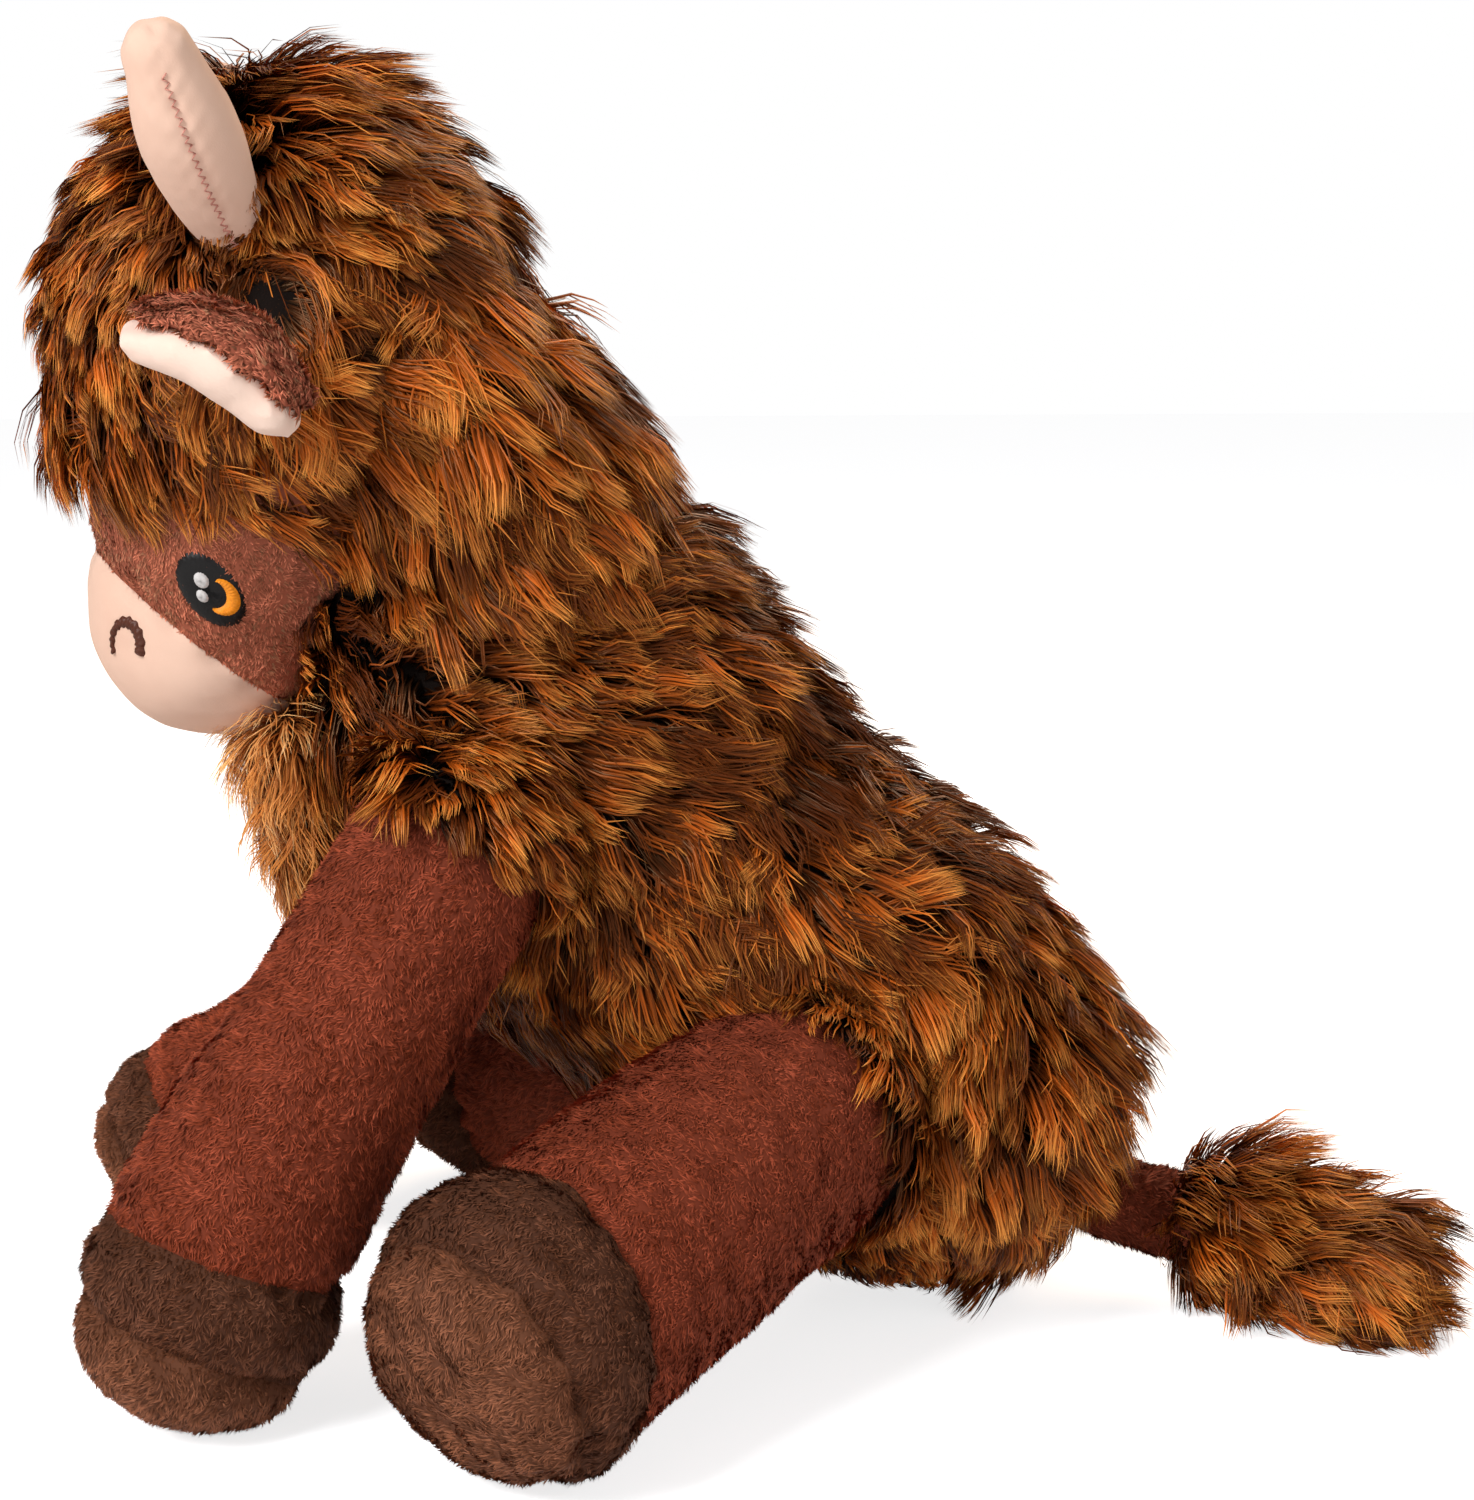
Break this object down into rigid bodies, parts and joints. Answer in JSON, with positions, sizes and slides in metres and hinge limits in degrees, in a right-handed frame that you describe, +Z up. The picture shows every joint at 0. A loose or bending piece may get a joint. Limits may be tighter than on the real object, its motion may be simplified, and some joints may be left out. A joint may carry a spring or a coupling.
{
  "type": "plush highland cow dog toy",
  "caption": "Sitting long-haired plush cow squeaky dog toy with short-pile legs, stuffed horns, cupped ears, a tufted tail and sewn joints at head, ears, legs and tail.",
  "frame": {"origin": "middle of the box round the toy, on the surface that it sits on", "axes": "+Z up, the toy faces -Y, its left side is +X"},
  "size_m": [0.1966, 0.2424, 0.2186],
  "materials": {
    "long_fur": "satin",
    "tan_fur": "satin",
    "belly_minky": "matte",
    "face_minky": "matte",
    "muzzle_velboa": "matte",
    "horn_velboa": "matte",
    "ear_minky": "matte",
    "lining_plush": "matte",
    "rust_minky": "matte",
    "hoof_minky": "matte",
    "sole_minky": "matte",
    "fibrefill": "matte",
    "black_thread": "satin",
    "amber_thread": "satin",
    "white_thread": "satin",
    "nostril_thread": "satin",
    "squeaker_plastic": "satin"
  },
  "bodies": {
    "torso": {"torso_fur": "long_fur", "belly_panel": "belly_minky", "torso_filling": "fibrefill", "squeaker_bulb": "squeaker_plastic", "squeaker_reed": "squeaker_plastic", "bib_fur": "tan_fur"},
    "head": {"hood_fur": "long_fur", "forelock_fur": "long_fur", "face_panel": "face_minky", "muzzle_cover": "muzzle_velboa", "head_filling": "fibrefill", "horn_cover_left": "horn_velboa", "horn_filling_left": "fibrefill", "eye_outline_left": "black_thread", "eye_iris_left": "amber_thread", "eye_glint_left": "white_thread", "nostril_left": "nostril_thread", "horn_cover_right": "horn_velboa", "horn_filling_right": "fibrefill", "eye_outline_right": "black_thread", "eye_iris_right": "amber_thread", "eye_glint_right": "white_thread", "nostril_right": "nostril_thread"},
    "ear_left": {"ear_back_left": "ear_minky", "ear_lining_left": "lining_plush"},
    "ear_right": {"ear_back_right": "ear_minky", "ear_lining_right": "lining_plush"},
    "foreleg_left": {"foreleg_left_sleeve": "rust_minky", "foreleg_left_hoof_band": "hoof_minky", "foreleg_left_sole": "sole_minky", "foreleg_left_filling": "fibrefill"},
    "foreleg_right": {"foreleg_right_sleeve": "rust_minky", "foreleg_right_hoof_band": "hoof_minky", "foreleg_right_sole": "sole_minky", "foreleg_right_filling": "fibrefill"},
    "hindleg_left": {"hindleg_left_sleeve": "rust_minky", "hindleg_left_hoof_band": "hoof_minky", "hindleg_left_sole": "sole_minky", "hindleg_left_filling": "fibrefill"},
    "hindleg_right": {"hindleg_right_sleeve": "rust_minky", "hindleg_right_hoof_band": "hoof_minky", "hindleg_right_sole": "sole_minky", "hindleg_right_filling": "fibrefill"},
    "tail": {"tail_sleeve": "rust_minky", "tail_filling": "fibrefill", "tail_tuft": "long_fur"}
  },
  "joints": [
    {"name": "head_nod", "type": "hinge", "parent": "torso", "child": "head", "pos_m": [0, -0.0777, 0.17281], "axis": [1, 0, 0], "range_deg": [-20, 4], "stiffness_Nm_per_rad": 0.3},
    {"name": "ear_left_flop", "type": "hinge", "parent": "head", "child": "ear_left", "pos_m": [0.04043, -0.07649, 0.17483], "axis": [0, 1, 0], "range_deg": [-20, 20], "stiffness_Nm_per_rad": 0.02},
    {"name": "ear_right_flop", "type": "hinge", "parent": "head", "child": "ear_right", "pos_m": [-0.04043, -0.07649, 0.17483], "axis": [0, -1, 0], "range_deg": [-20, 20], "stiffness_Nm_per_rad": 0.02},
    {"name": "foreleg_left_swing", "type": "hinge", "parent": "torso", "child": "foreleg_left", "pos_m": [0.03375, -0.05069, 0.08826], "axis": [1, 0, 0], "range_deg": [-15, 5], "stiffness_Nm_per_rad": 0.3},
    {"name": "foreleg_right_swing", "type": "hinge", "parent": "torso", "child": "foreleg_right", "pos_m": [-0.03412, -0.04246, 0.07845], "axis": [1, 0, 0], "range_deg": [-15, 5], "stiffness_Nm_per_rad": 0.3},
    {"name": "hindleg_left_swing", "type": "hinge", "parent": "torso", "child": "hindleg_left", "pos_m": [0.03381, 0.00367, 0.04341], "axis": [0, 0, 1], "range_deg": [-5, 15], "stiffness_Nm_per_rad": 0.3},
    {"name": "hindleg_right_swing", "type": "hinge", "parent": "torso", "child": "hindleg_right", "pos_m": [-0.03381, 0.00367, 0.04341], "axis": [0, 0, -1], "range_deg": [-5, 15], "stiffness_Nm_per_rad": 0.3},
    {"name": "tail_wag", "type": "hinge", "parent": "torso", "child": "tail", "pos_m": [0, 0.0633, 0.01831], "axis": [0, 0, 1], "range_deg": [-25, 25], "stiffness_Nm_per_rad": 0.05}
  ]
}
